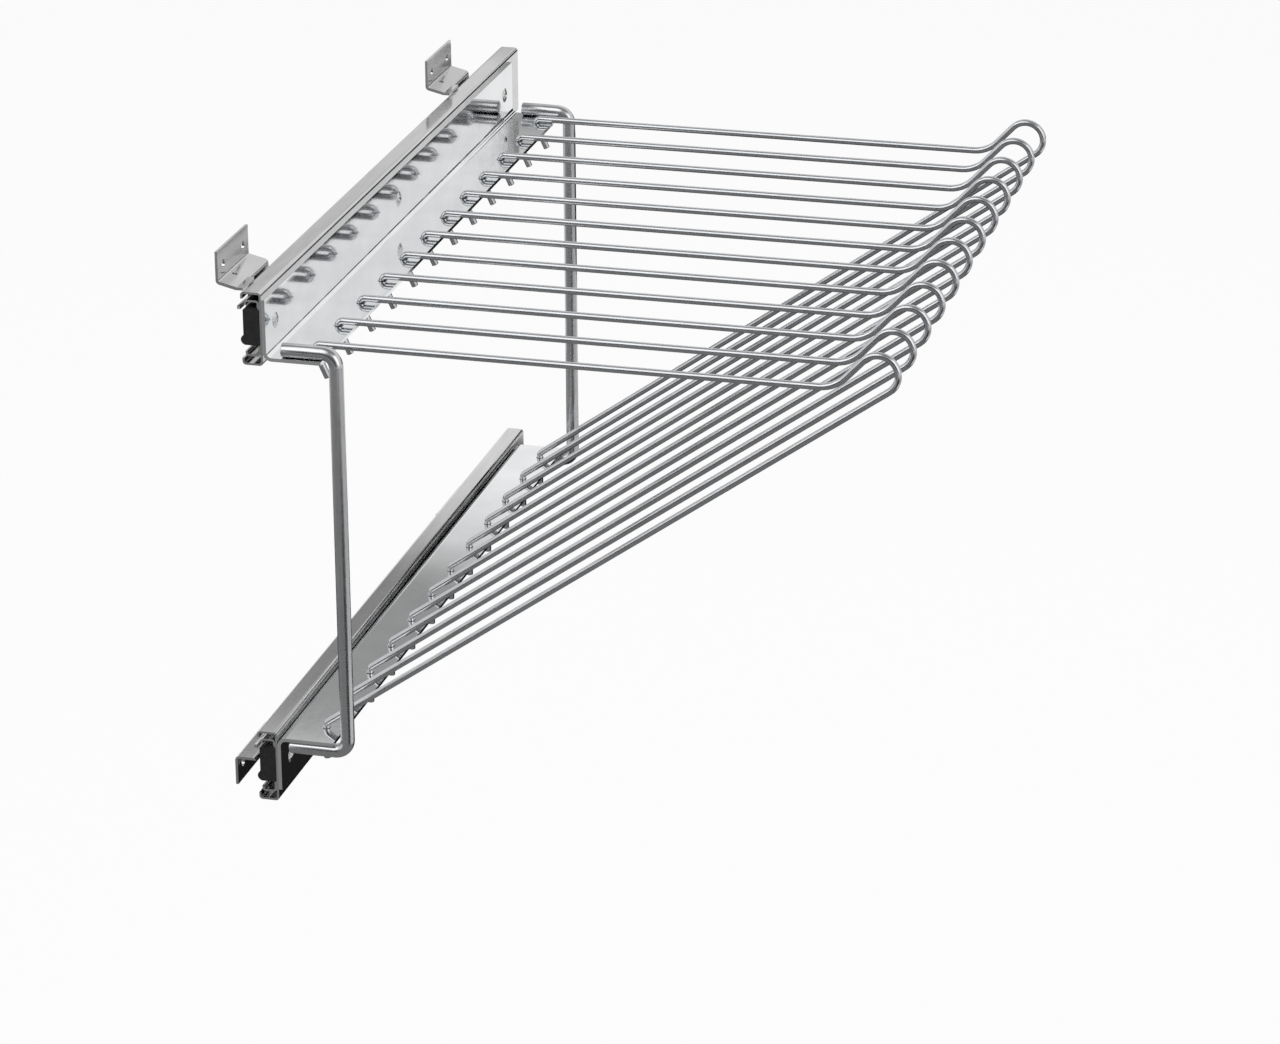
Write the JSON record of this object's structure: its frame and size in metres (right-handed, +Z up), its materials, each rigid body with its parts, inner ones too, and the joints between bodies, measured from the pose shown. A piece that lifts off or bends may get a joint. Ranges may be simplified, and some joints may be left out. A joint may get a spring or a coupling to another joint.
{
  "type": "pull out trouser rack",
  "caption": "Side-mounted wardrobe rack: chromed wire arms on two bent steel plates, carried out on an upper and a lower telescopic ball slide.",
  "frame": {"origin": "middle of the two screw holes of the upper front wall bracket, on the side panel's face", "axes": "+X into the wardrobe along the arms, +Y to the back of the wardrobe, +Z up; the rack pulls out along -Y"},
  "size_m": [0.3762, 0.5, 0.3245],
  "materials": {
    "chrome": "mirror-polished chrome plating on steel",
    "zinc_steel": "bright zinc-plated rolled steel",
    "ball_steel": "polished ball steel",
    "black_plastic": "black moulded plastic, fine matt"
  },
  "bodies": {
    "side_panel_fixings": {"upper_inner_rail": "zinc_steel", "upper_near_bracket": "chrome", "upper_far_bracket": "chrome", "upper_bracket_rivets": "chrome", "lower_inner_rail": "zinc_steel", "lower_near_bracket": "chrome", "lower_far_bracket": "chrome", "lower_bracket_rivets": "chrome"},
    "carriage": {"upper_outer_rail": "zinc_steel", "upper_plate": "chrome", "upper_plate_rivets": "chrome", "lower_outer_rail": "zinc_steel", "lower_plate": "chrome", "lower_plate_rivets": "chrome", "arm_01": "chrome", "arm_02": "chrome", "arm_03": "chrome", "arm_04": "chrome", "arm_05": "chrome", "arm_06": "chrome", "arm_07": "chrome", "arm_08": "chrome", "arm_09": "chrome", "arm_10": "chrome", "arm_11": "chrome", "arm_12": "chrome", "near_end_rod": "chrome", "far_end_rod": "chrome"},
    "upper_middle": {"upper_middle_rail": "zinc_steel", "upper_front_plug": "black_plastic"},
    "upper_outer_cages": {"upper_outer_cage": "zinc_steel", "upper_outer_balls": "ball_steel"},
    "upper_inner_cages": {"upper_inner_cage": "zinc_steel", "upper_inner_balls": "ball_steel"},
    "lower_middle": {"lower_middle_rail": "zinc_steel", "lower_front_plug": "black_plastic"},
    "lower_outer_cages": {"lower_outer_cage": "zinc_steel", "lower_outer_balls": "ball_steel"},
    "lower_inner_cages": {"lower_inner_cage": "zinc_steel", "lower_inner_balls": "ball_steel"}
  },
  "joints": [
    {"name": "carriage_slide", "type": "slide", "parent": "side_panel_fixings", "child": "carriage", "axis": [0, -1, 0], "range_m": [0, 0.45]},
    {"name": "upper_middle_slide", "type": "slide", "parent": "side_panel_fixings", "child": "upper_middle", "axis": [0, -1, 0], "range_m": [0, 0.225]},
    {"name": "upper_outer_cages_slide", "type": "slide", "parent": "side_panel_fixings", "child": "upper_outer_cages", "axis": [0, -1, 0], "range_m": [0, 0.3375]},
    {"name": "upper_inner_cages_slide", "type": "slide", "parent": "side_panel_fixings", "child": "upper_inner_cages", "axis": [0, -1, 0], "range_m": [0, 0.1125]},
    {"name": "lower_middle_slide", "type": "slide", "parent": "side_panel_fixings", "child": "lower_middle", "axis": [0, -1, 0], "range_m": [0, 0.225]},
    {"name": "lower_outer_cages_slide", "type": "slide", "parent": "side_panel_fixings", "child": "lower_outer_cages", "axis": [0, -1, 0], "range_m": [0, 0.3375]},
    {"name": "lower_inner_cages_slide", "type": "slide", "parent": "side_panel_fixings", "child": "lower_inner_cages", "axis": [0, -1, 0], "range_m": [0, 0.1125]}
  ],
  "couplings": [
    {"joint": "upper_middle_slide", "follows": "carriage_slide", "ratio": 0.5},
    {"joint": "upper_outer_cages_slide", "follows": "carriage_slide", "ratio": 0.75},
    {"joint": "upper_inner_cages_slide", "follows": "carriage_slide", "ratio": 0.25},
    {"joint": "lower_middle_slide", "follows": "carriage_slide", "ratio": 0.5},
    {"joint": "lower_outer_cages_slide", "follows": "carriage_slide", "ratio": 0.75},
    {"joint": "lower_inner_cages_slide", "follows": "carriage_slide", "ratio": 0.25}
  ]
}
